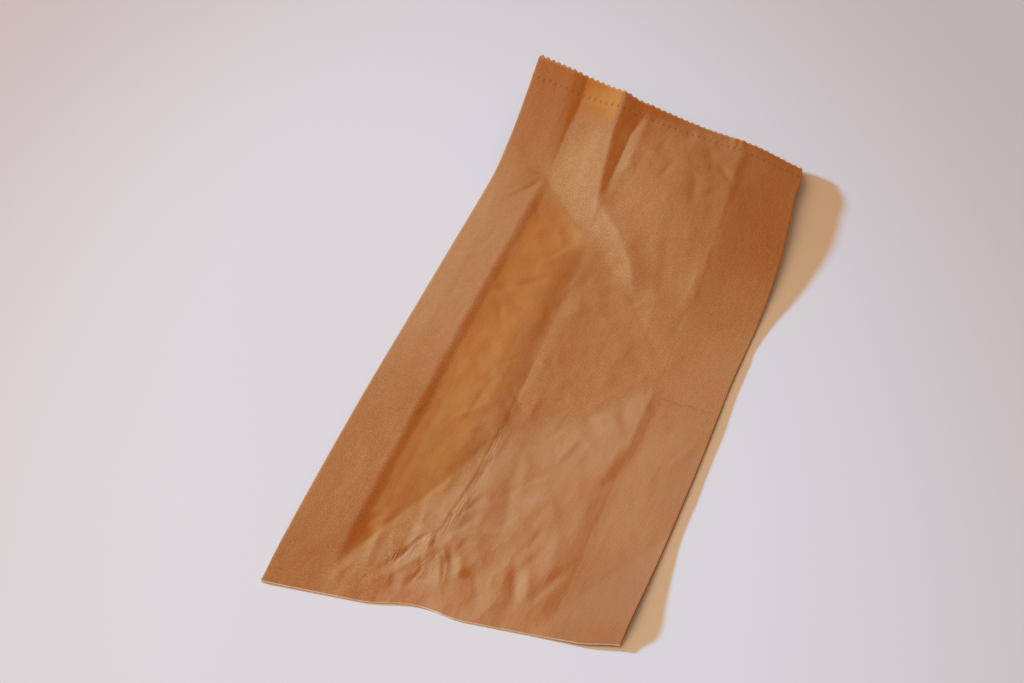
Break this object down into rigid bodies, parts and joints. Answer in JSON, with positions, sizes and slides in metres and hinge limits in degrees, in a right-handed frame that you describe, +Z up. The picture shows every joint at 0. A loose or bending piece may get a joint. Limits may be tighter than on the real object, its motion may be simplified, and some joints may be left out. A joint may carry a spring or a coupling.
{
  "type": "paper bakery bag",
  "caption": "Flat brown kraft paper bakery bag with side gussets, pinked mouth and folded bottom, lying creased and bent up towards its mouth.",
  "frame": {"origin": "on the table under the middle of the bag's bounding box", "axes": "+X across the bag to the right, +Y from the bottom fold to the mouth, +Z up off the table"},
  "size_m": [0.1454, 0.319, 0.0304],
  "materials": {
    "kraft_paper": "matt, faintly ribbed along the bag, creased"
  },
  "bodies": {
    "root": {"paper_bag": "kraft_paper"}
  },
  "joints": []
}
